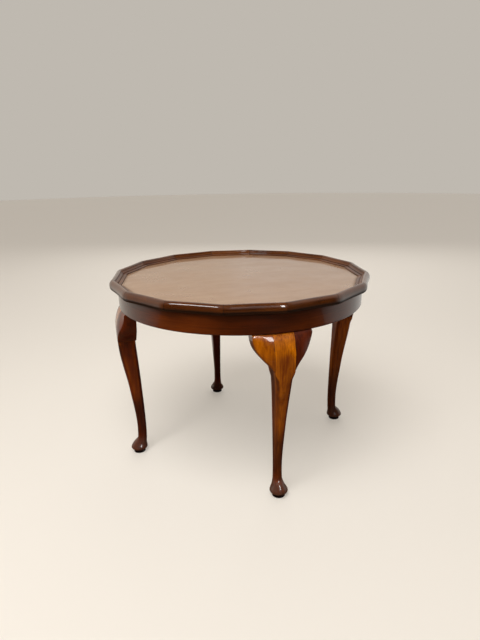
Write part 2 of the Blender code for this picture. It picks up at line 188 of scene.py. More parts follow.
# Spans of height over which a leg's finish changes, from none to full: painted shade towards the floor, dirt
# and painted shade on the shin, and the feet's painted reflection
DARKER_BELOW = (0.37, 0.04)
SHIN_DIRT_AND_SHADE_FOOT = (0.03, 0.06)
SHIN_DIRT_AND_SHADE_TOP = (0.185, 0.135)
FOOT_SHEEN = (0.05, 0.03)

# Lengths over which a leg's finish changes under the ears, above the ankle, at the neck and at the sole
EAR_FADE = 0.05
EAR_OVERLAP = 0.01
ANKLE_FADE = 0.03
NECK_FADE = 0.02
SOLE_FADE = 0.004

# The painted highlight on the crown of a knee: its drop below the apron, its height and its width
CROWN_DROP = 0.030
CROWN_HEIGHT = 0.018
CROWN_WIDTH = 0.016

# How much darker the ears are than their leg, by the side that they stand on, the right ones partly as
# painted shade, and the front right one's dirt and painted shade
EAR_STAIN_AND_SHADE = {"left": 0.3, "right": 0.95}
FRONT_EAR_DIRT_AND_SHADE = 0.3

# The glue line beside an ear: its width, how much dirt it holds where shut, and where the front one is open
GLUE_LINE = 0.0012
SHUT_DIRT = 0.3
CRACK_HEIGHT = 0.381
CRACK_REACH = 0.010

# Places among a mix node's sockets of its two colours and of the mixed one
MIX_FIRST = 6
MIX_SECOND = 7
MIX_RESULT = 2

# The floor's half side, and the brown card's height and its corners to the right of the table and away
FLOOR_HALF = 12.0
CARD_HEIGHT = -0.002
CARD_CORNERS = ((-0.05, 0.81), (-3.0, -1.95), (-3.0, -6.0), (3.0, -6.0), (3.0, -1.75))

# The backdrop's distance from the table, and its lowest and highest level
BACKDROP_REACH = 11.5
BACKDROP_LEVELS = (-1.0, 9.0)


def linear(hex_colour):
    """An sRGB hex colour as linear red, green and blue."""
    values = np.array([int(hex_colour[start:start + 2], 16) for start in (1, 3, 5)]) / 255
    return tuple(np.where(values <= 0.04045, values / 12.92, ((values + 0.055) / 1.055) ** 2.4))


def length(name, description, default):
    return FloatProperty(name=name, description=description, default=default, unit="LENGTH", precision=4)


def colour(name, description, hex_colour):
    rgb = linear(hex_colour)
    return FloatVectorProperty(name=name, description=description, default=rgb, subtype="COLOR")


def angle_of(name, description, degrees):
    return FloatProperty(name=name, description=description, default=np.radians(degrees), subtype="ANGLE")


class RimSizes(bpy.types.PropertyGroup):
    """The moulding's section, from its outer face inwards."""

    point_radius: length("Point radius", "From the table's axis to the points of the rim", 0.332)
    hollow: length("Hollow", "How far each scallop curves in between its points", 0.0017)
    skirt: length("Skirt", "How far the rim reaches below the top's face", 0.012)
    lower_lip: length("Lower lip", "Height of the slanting face under the rim", 0.002)
    bulge_rise: length("Bulge rise", "From the lower lip up to the widest line", 0.0105)
    undercut: length("Undercut", "How far the lower lip is set in from the widest line", 0.0065)
    rebate: length("Rebate", "How far in the panel's edge stops", 0.0125)
    rebate_depth: length("Rebate depth", "How far the rim sits below the top's face", 0.003)
    ridge_inset: length("Ridge inset", "From the widest line in to the ridge", 0.010)
    shoulder_width: length("Shoulder width", "Width of the round inside the ridge", 0.004)
    shoulder_drop: length("Shoulder drop", "Depth of the round inside the ridge", 0.003)
    cove_width: length("Cove width", "Width of the hollow inside the ridge", 0.0064)
    fillet_width: length("Fillet width", "Width of the small step below the cove", 0.0006)
    fillet_height: length("Fillet height", "Height of the small step below the cove", 0.0012)
    ovolo_width: length("Ovolo width", "Width of the round beside the panel", 0.008)
    ovolo_height: length("Ovolo height", "Height of the round beside the panel", 0.0025)
    inner_edge: length("Inner edge", "Height of the rim's innermost edge above the top", 0.001)
    point_rounding: length("Point rounding", "Radius that rounds the points off", 0.060)


class LegSizes(bpy.types.PropertyGroup):
    """A cabriole leg from the floor up. Insets run inwards from the apron's face and reaches outwards."""

    pad_diameter: length("Pad diameter", "The flat pad under the foot", 0.030)
    pad_height: length("Pad height", "Height of the pad", 0.005)
    foot_diameter: length("Foot diameter", "The foot at its widest", 0.0428)
    belly_rise: length("Belly rise", "From the pad up to the foot's widest line", 0.008)
    foot_top_rise: length("Foot top rise", "From the widest line up to the foot's upper edge", 0.014)
    foot_top_depth: length("Foot top depth", "The foot's upper edge from front to back", 0.0345)
    foot_top_width: length("Foot top width", "The foot's upper edge from side to side", 0.0285)
    foot_top_inset: length("Foot top inset", "Inset of the middle of the foot's upper edge", 0.0225)
    foot_inset: length("Foot inset", "Inset of the middle of the foot", 0.0195)
    instep_rise: length("Instep rise", "From the foot's upper edge to the instep", 0.014)
    instep_depth: length("Instep depth", "The instep from front to back", 0.0235)
    instep_width: length("Instep width", "The instep from side to side", 0.0210)
    instep_inset: length("Instep inset", "Inset of the middle of the instep", 0.0292)
    ankle_height: length("Ankle height", "Height of the thinnest part", 0.070)
    ankle_depth: length("Ankle depth", "The ankle from front to back", 0.0228)
    ankle_width: length("Ankle width", "The ankle from side to side", 0.0187)
    ankle_inset: length("Ankle inset", "Inset of the middle of the ankle", 0.030)
    shank_depth: length("Shank depth", "The shank from front to back, halfway up", 0.031)
    shank_width: length("Shank width", "The shank from side to side, halfway up", 0.0252)
    shank_inset: length("Shank inset", "Inset of the middle of the shank", 0.0224)
    calf_drop: length("Calf drop", "From the ears' lower ends down to the calf", 0.024)
    calf_depth: length("Calf depth", "The calf from front to back", 0.0429)
    calf_width: length("Calf width", "The calf from side to side", 0.0376)
    calf_inset: length("Calf inset", "Inset of the middle of the calf", 0.0101)
    neck_depth: length("Neck depth", "The leg from front to back at the ears' lower ends", 0.0425)
    neck_reach: length("Neck reach", "How far the neck stands out from the apron's face", 0.0128)
    knee_drop: length("Knee drop", "From the apron down to the knee", 0.052)
    knee_depth: length("Knee depth", "The knee from front to back", 0.0463)
    knee_reach: length("Knee reach", "How far the knee stands out from the apron's face", 0.0137)
    knee_top_drop: length("Knee top drop", "From the apron down to where the knee turns in", 0.013)
    knee_top_reach: length("Knee top reach", "How far the leg stands out where the knee turns in", 0.0065)
    roll_height: length("Roll height", "Height of the round that draws the knee in under the apron", 0.030)
    roll_depth: length("Roll depth", "Depth of the round that draws the knee in under the apron", 0.006)
    shoulder_reach: length("Shoulder reach", "How far the leg stands out just under the apron", 0.0015)
    post_width: length("Post width", "The leg from side to side between the ears", 0.046)


class EarSizes(bpy.types.PropertyGroup):
    """The pieces glued beside each knee."""

    reach: length("Reach", "From the leg out to the ear's nose", 0.043)
    drop: length("Drop", "From the apron down to the ear's lower end", 0.082)
    nose_height: length("Nose height", "Height of the ear at its nose", 0.008)
    nose_taper: length("Nose taper", "How much the back is cut away at the nose", 0.006)
    arris: length("Arris", "Rounding of the sawn lower edge beside the leg", 0.003)
    nose_arris: length("Nose arris", "Rounding of the sawn lower edge towards the nose", 0.010)


class WalnutColours(bpy.types.PropertyGroup):
    """Colours of the polished walnut, the raw underside and the fittings."""

    top_light: colour("Top light", "Paler grain of the top", "#9b7757")
    top_dark: colour("Top dark", "Darker grain of the top", "#906a49")
    rim_light: colour("Rim light", "Paler grain of the rim", "#744014")
    rim_dark: colour("Rim dark", "Darker grain of the rim", "#4a2309")
    apron_light: colour("Apron light", "Paler grain of the apron", "#853c05")
    apron_dark: colour("Apron dark", "Darker grain of the apron", "#612602")
    leg_light: colour("Leg light", "Paler grain of the legs", "#ef8c0d")
    leg_dark: colour("Leg dark", "Darker grain of the legs", "#944506")
    # The stain tint also paints shade on the legs, the ears and the rim's outer faces
    stain: colour("Stain", "Tint of the darker polish, multiplied in", "#84574a")
    pore: colour("Pore", "Tint of the filled pores, multiplied in", "#a88c72")
    # The grime tint also paints shade and shadow under the rim, under the ears and under the feet
    grime: colour("Grime", "Tint of old dirt in the corners, multiplied in", "#35241a")
    raw: colour("Raw walnut", "The unpolished undersides", "#4a3222")
    beech: colour("Beech", "The unpolished glue blocks", "#c9a880")
    # The rubbed colour is also the painted grey reflection on the feet
    rubbed_and_sheen: colour("Rubbed polish", "Where the polish is rubbed thin", "#4c3b31")
    steel: colour("Steel", "The screws", "#a8a49c")


class StageSettings(bpy.types.PropertyGroup):
    """Camera, floor and light."""

    camera_distance: length("Camera distance", "From the table's axis to the camera, along the floor", 1.2565)
    camera_height: length("Camera height", "Camera above the floor", 0.7417)
    bearing: angle_of("Bearing", "Camera round the table from the front leg", -16.6)
    yaw: angle_of("Yaw", "Camera turned aside from the table's axis", -0.07)
    pitch: angle_of("Pitch", "Camera tilted down", 17.70)
    roll: angle_of("Roll", "Camera tilted sideways", 0.85)
    lens: FloatProperty(name="Lens", description="Focal length in millimetres", default=27.74)
    floor: colour("Floor", "The plain pale floor", "#bdb7ae")
    backdrop: colour("Backdrop", "The plain pale ground behind the table", "#bfb9b0")
    back_left: colour("Back left", "Pale light from behind the table on the left", "#c8c0b4")
    back_right: colour("Back right", "Pale light from behind the table on the right", "#cdc9c2")
    overhead: colour("Overhead", "Dim light from above", "#5a4226")
    front: colour("Front", "Dim light from in front of the table", "#3a240d")
    card: colour("Card", "The brown card that only the polish mirrors", "#6d4b2f")


class TableSettings(bpy.types.PropertyGroup):
    """Everything that the operators read."""

    rim: PointerProperty(type=RimSizes)
    leg: PointerProperty(type=LegSizes)
    ear: PointerProperty(type=EarSizes)
    colours: PointerProperty(type=WalnutColours)
    stage: PointerProperty(type=StageSettings)


# Shared shapes

def points(*parts):
    """Points from their parts, such as x, y and z, each spread over the whole grid."""
    return np.stack(np.broadcast_arrays(*parts), axis=-1)


def round_axis(reach, angle, height):
    """Points at a distance from the table's axis and at an angle from the front leg."""
    return points(reach * np.sin(angle), -reach * np.cos(angle), height)


def fade(value, start, end):
    """From 0 at the start to 1 at the end, straight between them and level beyond."""
    return np.clip((value - start) / (end - start), 0, 1)


def bell(distance, width):
    """A bell curve: 1 in the middle, and e to the power of minus the square of the distance in widths."""
    return np.exp(-(distance / width) ** 2)


def spread(values, shape):
    """Values spread over a whole grid, in the flat form that a mesh takes."""
    return np.ascontiguousarray(np.broadcast_to(values, shape), np.float32).ravel()


def skin(name, grid, board, stain=0.4, grime=0.0, wear=0.0, film=1.0, dull=False, dull_ends=(False, False),
         first_end=None):
    """A closed mesh from a grid of points: rows run along the piece, columns round it, flat ends close it.

    board holds each point's place in the plank that the piece was sawn from: along the grain, across it and
    through it. The stain is how dark the polish is, with painted shade added on the legs, ears and rim. The
    grime is old dirt, with painted shade and shadow added under the rim, the ears and the feet. The wear is
    how rubbed the surface is, with a painted grey reflection added on the feet. film is how much of the clear
    film is left. All run from 0 to 1. Dirt and painted shade cover the film. dull marks the quads that take
    the piece's second, unpolished material, by row and column.
    """
    rows, columns = grid.shape[:2]
    index = np.arange(rows * columns).reshape(rows, columns)
    beside = np.roll(index, -1, axis=1)
    quads = np.stack([index[:-1], beside[:-1], beside[1:], index[1:]], axis=-1).reshape(-1, 4)
    ends = (first_end or [index[0][::-1].tolist()]) + [index[-1].tolist()]
    mesh = bpy.data.meshes.new(name)
    mesh.from_pydata(grid.reshape(-1, 3).tolist(), [], quads.tolist() + ends)
    finish = np.concatenate([np.broadcast_to(dull, (rows - 1, columns)).ravel(),
                             np.full(len(ends) - 1, dull_ends[0]), dull_ends[1:]])
    mesh.polygons.foreach_set("material_index", finish.astype(np.int32))
    board_layer = mesh.attributes.new("board", "FLOAT_VECTOR", "POINT")
    board_layer.data.foreach_set("vector", spread(board, grid.shape))
    clear = film * (1 - DIRT_AND_SHADE_COVER * np.asarray(grime))
    for label, values in (("stain", stain), ("grime", grime), ("wear", wear), ("film", clear)):
        layer = mesh.attributes.new(label, "FLOAT", "POINT")
        layer.data.foreach_set("value", spread(values, (rows, columns)))
    shape = bmesh.new()
    shape.from_mesh(mesh)
    bmesh.ops.recalc_face_normals(shape, faces=shape.faces)
    shape.to_mesh(mesh)
    shape.free()
    mesh.shade_smooth()
    mesh.set_sharp_from_angle(angle=SMOOTH_ANGLE)
    return mesh


def place_piece(mesh, materials, slot, *nodes):
    """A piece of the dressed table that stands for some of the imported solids."""
    piece = bpy.data.objects.new(mesh.name, mesh)
    bpy.context.scene.collection.objects.link(piece)
    for material in materials:
        mesh.materials.append(material)
    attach(piece, "root")
    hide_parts(*nodes)


def quarter(start, end, steps, upright_first):
    """A quarter ellipse between two points of a section, without its first point.

    It leaves the first point upright, or else level, and arrives the other way.
    """
    angle = np.linspace(0, QUARTER_TURN, steps + 1)[1:, None]
    rising = np.hstack([1 - np.cos(angle), np.sin(angle)])
    share = rising if upright_first else rising[:, ::-1]
    return np.array(start) + (np.array(end) - np.array(start)) * share


def turned(grid, angle):
    """Points turned about the table's axis, from their place at the front leg."""
    x, y, z = np.moveaxis(grid, -1, 0)
    return points(x * np.cos(angle) - y * np.sin(angle), x * np.sin(angle) + y * np.cos(angle), z)


def scallop_circle(rim):
    """How far a scallop's centre lies from the table's axis, and its arc's radius.

    A scallop is an arc that bulges towards the axis. Its centre lies outside, where the circle through the
    two points and the hollow's middle puts it.
    """
    middle = rim.point_radius * np.cos(HALF_SCALLOP) - rim.hollow
    centre = (rim.point_radius**2 - middle**2) / (2 * rim.hollow)
    return centre, centre - middle


def scallop_reach(rim, angle, inset):
    """Radius of the scalloped outline, set in by a distance, at an angle from a scallop's middle.

    It is where a ray from the table's axis first meets the scallop's arc, widened by the inset.
    """
    centre, arc = scallop_circle(rim)
    return centre * np.cos(angle) - np.sqrt((arc + inset) ** 2 - (centre * np.sin(angle)) ** 2)


def rim_width(rim):
    return rim.ridge_inset + rim.shoulder_width + rim.cove_width + rim.fillet_width + rim.ovolo_width


# Materials

def set_inputs(tree, node, inputs):
    """Sets a node's inputs, and links those that are given another node's socket."""
    for key, value in inputs.items():
        if isinstance(value, bpy.types.NodeSocket):
            tree.links.new(value, node.inputs[key])
        else:
            node.inputs[key].default_value = value


def add_node(tree, kind, settings=None, inputs=None):
    """Adds a node with its settings, and sets or links its inputs."""
    node = tree.nodes.new(kind)
    for key, value in (settings or {}).items():
        setattr(node, key, value)
    set_inputs(tree, node, inputs or {})
    return node


def new_material(name):
    """A new material, its tree and its shader."""
    material = bpy.data.materials.new(name)
    material.use_nodes = True
    tree = material.node_tree
    return material, tree, tree.nodes["Principled BSDF"]


def opaque(rgb):
    return (*rgb, 1.0)


def grain(tree, along_mm, across_mm, detail, distortion=0.0):
    """Noise drawn out along the piece's own plank, with its mean length and width in millimetres."""
    board = add_node(tree, "ShaderNodeAttribute", {"attribute_name": "board"}).outputs["Vector"]
    stretch = (1000 / along_mm, 1000 / across_mm, 1000 / across_mm)
    drawn = add_node(tree, "ShaderNodeVectorMath", {"operation": "MULTIPLY"}, {0: board, 1: stretch})
    noise = add_node(tree, "ShaderNodeTexNoise", None,
                     {"Vector": drawn.outputs[0], "Scale": 1.0, "Detail": detail, "Distortion": distortion})
    return noise.outputs["Fac"]


def polished_walnut(name, colours, light, dark, gloss):
    """Walnut under French polish: soft dark figure, fine lines and filled pores, and a clear glossy film.

    The grain is read from each piece's own plank, so it runs with the piece and breaks at every joint.
    """
    material, tree, shader = new_material(name)
    stain, grime, wear, film = (
        add_node(tree, "ShaderNodeAttribute", {"attribute_name": label}).outputs["Fac"]
        for label in ("stain", "grime", "wear", "film")
    )
    figure = grain(tree, 150, 24, 3, 0.5)
    lines = grain(tree, 110, 3.2, 2, 0.2)
    mottle = grain(tree, 45, 30, 2, 0.3)
    # Real pores are about 0.15 mm wide. They are drawn four times as wide, so that a few show
    pores = grain(tree, 9, 0.6, 1)
    rubs = grain(tree, RUB_MM, RUB_MM, 3)
    haze = grain(tree, HAZE_MM, HAZE_MM, 2)
    waves = grain(tree, WAVE_MM, WAVE_MM, 1)

    streaks = add_node(tree, "ShaderNodeMix", None, {"Factor": 0.42, "A": figure, "B": lines})
    mixed = add_node(tree, "ShaderNodeMix", None,
                     {"Factor": 0.25, "A": streaks.outputs["Result"], "B": mottle})
    ramp = add_node(tree, "ShaderNodeValToRGB", None, {"Fac": mixed.outputs["Result"]})
    for element, position, rgb in zip(ramp.color_ramp.elements, (0.39, 0.61), (dark, light)):
        element.position = position
        element.color = opaque(rgb)
    pore_mask = add_node(tree, "ShaderNodeMapRange", None,
                         {"Value": pores, "From Min": 0.56, "From Max": 0.72, "To Max": 0.4})
    toned = ramp.outputs["Color"]
    # The stain and grime tints darken real stain and dirt, and painted shade and shadow too
    tints = ((pore_mask.outputs["Result"], colours.pore), (stain, colours.stain), (grime, colours.grime))
    for share, tint in tints:
        mix = add_node(tree, "ShaderNodeMix", {"data_type": "RGBA", "blend_type": "MULTIPLY"},
                       {"Factor": share, MIX_FIRST: toned, MIX_SECOND: opaque(tint)})
        toned = mix.outputs[MIX_RESULT]
    # Rubbing mixes in the rubbed colour, which on the feet is a painted grey reflection
    rub_mask = add_node(tree, "ShaderNodeMapRange", None,
                        {"Value": rubs, "From Min": 0.35, "From Max": 0.7, "To Min": 0.5, "To Max": 0.85})
    rubbed_and_sheen = add_node(tree, "ShaderNodeMath", {"operation": "MULTIPLY"},
                      {0: rub_mask.outputs["Result"], 1: wear})
    worn = add_node(tree, "ShaderNodeMix", {"data_type": "RGBA"},
                    {"Factor": rubbed_and_sheen.outputs[0], MIX_FIRST: toned, MIX_SECOND: opaque(colours.rubbed_and_sheen)})

    rough = add_node(tree, "ShaderNodeMapRange", None,
                     {"Value": haze, "From Min": 0.3, "From Max": 0.7, "To Min": 0.26, "To Max": 0.38})
    # Dirt and painted shade both make the surface rougher
    rough_with_grime_and_shade = add_node(tree, "ShaderNodeMix", None, {"Factor": grime, "A": rough.outputs["Result"], "B": 0.75})
    # The film is never quite flat: it sinks a little into the pores and waves gently
    wave_bump = add_node(tree, "ShaderNodeBump", None,
                         {"Height": waves, "Strength": 0.12, "Distance": 0.0006})
    waved = wave_bump.outputs["Normal"]
    pore_bump = add_node(tree, "ShaderNodeBump", {"invert": True},
                         {"Height": pores, "Strength": 0.015, "Distance": 0.0002, "Normal": waved})
    coat = add_node(tree, "ShaderNodeMath", {"operation": "MULTIPLY"}, {0: film, 1: gloss["Coat Weight"]})
    set_inputs(tree, shader, gloss)
    set_inputs(tree, shader, {
        "Base Color": worn.outputs[MIX_RESULT],
        "Roughness": rough_with_grime_and_shade.outputs["Result"],
        "Normal": pore_bump.outputs["Normal"],
        "Coat Normal": waved,
        "Coat Weight": coat.outputs[0],
    })
    return material


# French polish is a shellac film, close to glass in how much it mirrors
GLOSS_INPUTS = ("IOR", "Specular IOR Level", "Coat Weight", "Coat IOR", "Coat Roughness")
TOP_GLOSS = dict(zip(GLOSS_INPUTS, (1.5, 0.4, 0.8, 1.5, 0.06)))
SIDE_GLOSS = dict(zip(GLOSS_INPUTS, (1.5, 0.2, 1.0, 1.45, 0.04)))
RIM_GLOSS = {**SIDE_GLOSS, "Coat IOR": 1.6}
THIN_GLOSS = dict(zip(GLOSS_INPUTS, (1.5, 0.15, 0.1, 1.4, 0.3)))


def raw_wood(name, light, dark, along_mm, across_mm):
    """Sawn, unpolished wood: dull, with flecks of a length and width in millimetres along the grain."""
    material, tree, shader = new_material(name)
    flecks = grain(tree, along_mm, across_mm, 3)
    ramp = add_node(tree, "ShaderNodeValToRGB", None, {"Fac": flecks})
    for element, position, rgb in zip(ramp.color_ramp.elements, (0.35, 0.62), (dark, light)):
        element.position = position
        element.color = opaque(rgb)
    fuzz = add_node(tree, "ShaderNodeBump", None, {"Height": flecks, "Strength": 0.3, "Distance": 0.0003})
    set_inputs(tree, shader, {
        "Base Color": ramp.outputs["Color"],
        "Normal": fuzz.outputs["Normal"],
        "Roughness": 0.75,
        "Specular IOR Level": 0.2,
    })
    return material


def plain_steel(name, grey):
    """Bright drawn steel, gone a little dull: a grey metal with fine turning marks."""
    material, tree, shader = new_material(name)
    place = add_node(tree, "ShaderNodeTexCoord").outputs["Object"]
    # Turning marks are about 0.1 mm apart. They are drawn at 1 mm, so that they show
    marks = add_node(tree, "ShaderNodeTexNoise", None, {"Vector": place, "Scale": 1000.0, "Detail": 2.0})
    rough = add_node(tree, "ShaderNodeMapRange", None,
                     {"Value": marks.outputs["Fac"], "To Min": 0.25, "To Max": 0.55})
    set_inputs(tree, shader, {
        "Base Color": opaque(grey),
        "Roughness": rough.outputs["Result"],
        "Metallic": 1.0,
    })
    return material


def shared_material(name, make, *arguments):
    return bpy.data.materials.get(name) or make(name, *arguments)


def walnut_for(kind, settings):
    """The polished walnut of one kind of piece, and what its unseen faces have instead."""
    colours = settings.colours
    wood = (colours, getattr(colours, f"{kind}_light"), getattr(colours, f"{kind}_dark"))
    gloss = {"top": TOP_GLOSS, "rim": RIM_GLOSS}.get(kind, SIDE_GLOSS)
    polished = shared_material(f"French-polished walnut, {kind}", polished_walnut, *wood, gloss)
    if kind == "leg":
        unseen = shared_material("thinly polished walnut", polished_walnut, *wood, THIN_GLOSS)
    else:
        raw = np.array(colours.raw)
        unseen = shared_material("raw planed walnut", raw_wood, raw, raw * WALNUT_FLECK, *WALNUT_FLECK_MM)
    return polished, unseen


# Surfaces of the pieces

def panel_mesh(rim):
    """The dished top: rings of the scalloped outline, shrunk towards the middle on its face and underside.

    A point on a ring of share s lies at s times the outline's radius. The rebate steps the outline out under
    the rim.
    """
    angle = np.linspace(0, 2 * np.pi, SCALLOPS * PANEL_STEPS, endpoint=False)
    off_middle = angle % (2 * HALF_SCALLOP) - HALF_SCALLOP
    field = scallop_reach(rim, off_middle, rim_width(rim) + CLEARANCE)
    edge = scallop_reach(rim, off_middle, rim.rebate + CLEARANCE)
    shares = np.append(np.linspace(*EVEN_RINGS, PANEL_RINGS), OUTER_RINGS)[:, None]
    rings = len(shares)
    reach = np.vstack([shares * (field - PANEL_EASING), field, field, edge, edge, shares[::-1] * edge])
    tongue = panel_high.z - rim.rebate_depth
    levels = (panel_high.z, panel_high.z - PANEL_EASING, tongue, panel_low.z)
    height = np.repeat(levels, (rings, 1, 2, rings + 1))[:, None]
    grid = round_axis(reach, angle, height)
    # The top grows darker towards the corner where it meets the rim
    corner = np.zeros(height.shape)
    corner[:rings] = fade(shares, CORNER_DARK_SHARE, 1.0)
    underside = np.arange(len(height) - 1)[:, None] > rings
    return skin("dished_top", grid, grid, 0.0, 0.55 * corner, dull=underside, dull_ends=(False, True))


def rim_section(rim):
    """The moulding's section as inset and height, from the rebate out under the lip and over the ridge."""
    underside = panel_high.z - rim.skirt
    bulge = underside + rim.lower_lip + rim.bulge_rise
    foot = panel_high.z - rim.rebate_depth + CLEARANCE
    ovolo_top = panel_high.z + rim.inner_edge + rim.ovolo_height
    ridge_end = rim.ridge_inset + rim.shoulder_width
    cove_end = ridge_end + rim.cove_width
    parts = [np.array([(rim.rebate, underside), (rim.undercut, underside + rim.lower_lip)])]
    for end, upright_first in (((0.0, bulge), False), ((rim.ridge_inset, table_top), True),
                               ((ridge_end, table_top - rim.shoulder_drop), False),
                               ((cove_end, ovolo_top + rim.fillet_height), True)):
        parts.append(quarter(parts[-1][-1], end, CORNER_STEPS, upright_first))
    parts.append(np.array([(cove_end + rim.fillet_width, ovolo_top)]))
    inner = (rim_width(rim), panel_high.z + rim.inner_edge)
    parts.append(quarter(parts[-1][-1], inner, CORNER_STEPS, False))
    parts.append(np.array([(inner[0], foot), (rim.rebate, foot)]))
    return np.vstack(parts)


def point_trim(rim, angle, mitre, reach, inset):
    """How much of a point is rounded away, at an angle from the scallop's middle.

    The two scallops at a point each slope by the same angle. A circle that touches both starts at its radius
    times that angle's tangent from the point, and leaves the scallop by the square of the way to it over two
    radii. The trim fades out towards the rim's inner edge.
    """
    arc = scallop_circle(rim)[1]
    slope = HALF_SCALLOP + np.arcsin(rim.point_radius * np.sin(HALF_SCALLOP) / arc)
    start = rim.point_rounding * np.tan(slope)
    along = (mitre - np.abs(angle)) * reach
    return np.clip(start - along, 0, None) ** 2 / (2 * rim.point_rounding) * (1 - inset / rim_width(rim))


def rim_mesh(rim, number):
    """One length of moulding: its section carried along the scallop's arc and mitred at both points.

    At share s of the way, from -1 to 1, a point of inset e stands at s times its own mitre's angle, on the
    arc of that inset. The rows stand closer towards the points, at the sine of an even share.
    """
    inset, height = rim_section(rim).T
    corner = scallop_reach(rim, HALF_SCALLOP, inset)
    mitre = HALF_SCALLOP - CLEARANCE / 2 / corner
    share = np.sin(np.linspace(-QUARTER_TURN, QUARTER_TURN, ARC_ROWS))[:, None]
    angle = share * mitre
    reach = scallop_reach(rim, angle, inset)
    reach = reach - point_trim(rim, angle, mitre, reach, inset)
    grid = turned(round_axis(reach, angle, height), (2 * number + 1) * HALF_SCALLOP)
    board = points(angle * rim.point_radius, inset, height) + number * RIM_STEP
    bulge = panel_high.z - rim.skirt + rim.lower_lip + rim.bulge_rise
    outside = inset < rim.ridge_inset
    # The ridge is rubbed, most of all at its points
    ridge = bell(inset - rim.ridge_inset, RIDGE_WIDTH) * (height > panel_high.z)
    wear = 0.35 * ridge * (0.2 + 0.8 * np.abs(share) ** 8)
    # Painted shade under the bulge, a darker line in the quirk, and dirt in the mitres
    quirk = bell(inset - rim_width(rim) + rim.ovolo_width, QUIRK_WIDTH) * ~outside
    under = fade(height, bulge, bulge - 0.5 * rim.bulge_rise) * outside
    seam = bell((1 - np.abs(share)) * HALF_SCALLOP * rim.point_radius, MITRE_WIDTH)
    grime = np.clip(0.5 * quirk + under + 0.55 * seam, 0, 1)
    # The polishing rubber did not reach far into the hollows
    film = np.where(inset > rim.ridge_inset + rim.shoulder_width, HOLLOW_FILM, 1.0)
    # No two lengths are quite the same colour, and all are darker outside, a painted shade
    stain = 0.30 + 0.14 * np.sin(2.4 * number) + np.where(outside, 0.2, 0.0)
    low = np.maximum(height, np.roll(height, -1)) < bulge - 0.45 * rim.bulge_rise
    return skin(f"rim_length_{number + 1:02d}", grid, board, stain, grime, wear, film, dull=low[None])


def apron_mesh():
    """The bent hoop: its section carried round the table, with its two ends butted behind the back leg."""
    outer, inner = apron_high.x, apron_high.x - APRON_THICKNESS
    eased = apron_low.z + APRON_EASING
    section = np.vstack([
        points(outer, np.linspace(apron_high.z, eased, FACE_ROWS)),
        quarter((outer, eased), (outer - APRON_EASING, apron_low.z), CORNER_STEPS // 2, True),
        [(inner + APRON_EASING, apron_low.z)],
        quarter((inner + APRON_EASING, apron_low.z), (inner, eased), CORNER_STEPS // 2, False),
        [(inner, apron_high.z)],
    ])
    radius, height = section.T
    angle = np.linspace(-1, 1, HOOP_ROWS)[:, None] * (np.pi - CLEARANCE / 2 / outer)
    grid = round_axis(radius, angle, height)
    board = points(angle * outer, height, radius)
    # Painted shadow under the rim, and the whole lower edge a little darker
    rim_shadow = fade(height, apron_high.z - RIM_SHADOW, apron_high.z)
    grime = rim_shadow + 0.3 * fade(height, apron_low.z + LOWER_EDGE_DARK, apron_low.z)
    inside = (np.arange(len(radius)) > FACE_ROWS + CORNER_STEPS // 2)[None]
    stain = 0.48 + 0.3 * np.sin(VENEER_WAVES * angle + VENEER_START)
    return skin("apron_hoop_polished", grid, board, stain, grime, dull=inside)


def leg_stations(leg, ear):
    """Rows of height, outer radius, inner radius, width and corner roundness, from the floor up."""
    face = apron_high.x
    shoulder = apron_low.z - CLEARANCE
    belly = leg.pad_height + leg.belly_rise
    foot_top = belly + leg.foot_top_rise
    neck = shoulder - ear.drop
    calf = neck - leg.calf_drop

    def row(height, inset, depth, width, roundness):
        middle = face - inset
        return height, middle + depth / 2, middle - depth / 2, width, roundness

    rows = []
    discs = ((0.0, leg.pad_diameter), (leg.pad_height, leg.pad_diameter), (belly, leg.foot_diameter))
    for height, diameter in discs:
        rows.append(row(height, leg.foot_inset, diameter, diameter, FOOT_ROUNDNESS))
    for part, height, roundness in (
        ("foot_top", foot_top, FOOT_ROUNDNESS),
        ("instep", foot_top + leg.instep_rise, INSTEP_ROUNDNESS),
        ("ankle", leg.ankle_height, ANKLE_ROUNDNESS),
        ("shank", (leg.ankle_height + calf) / 2, SHANK_ROUNDNESS),
        ("calf", calf, CALF_ROUNDNESS),
    ):
        sizes = [getattr(leg, f"{part}_{size}") for size in ("inset", "depth", "width")]
        rows.append(row(height, *sizes, roundness))
    neck_outer = face + leg.neck_reach
    rows.append((neck, neck_outer, neck_outer - leg.neck_depth, leg.post_width, NECK_ROUNDNESS))
    knee_inner = face + leg.knee_reach - leg.knee_depth
    for drop, reach in (
        (leg.knee_drop, leg.knee_reach),
        (leg.knee_top_drop, leg.knee_top_reach),
        (0.0, leg.shoulder_reach),
    ):
        rows.append((shoulder - drop, face + reach, knee_inner, leg.post_width, POST_ROUNDNESS))
    return np.array(rows)


def rolled(drop, height, depth):
    """How far a rounded upper edge is drawn in at a drop below it, along a quarter ellipse."""
    into = np.clip(1 - drop / height, 0, 1)
    return depth * (1 - np.sqrt(1 - into**2))


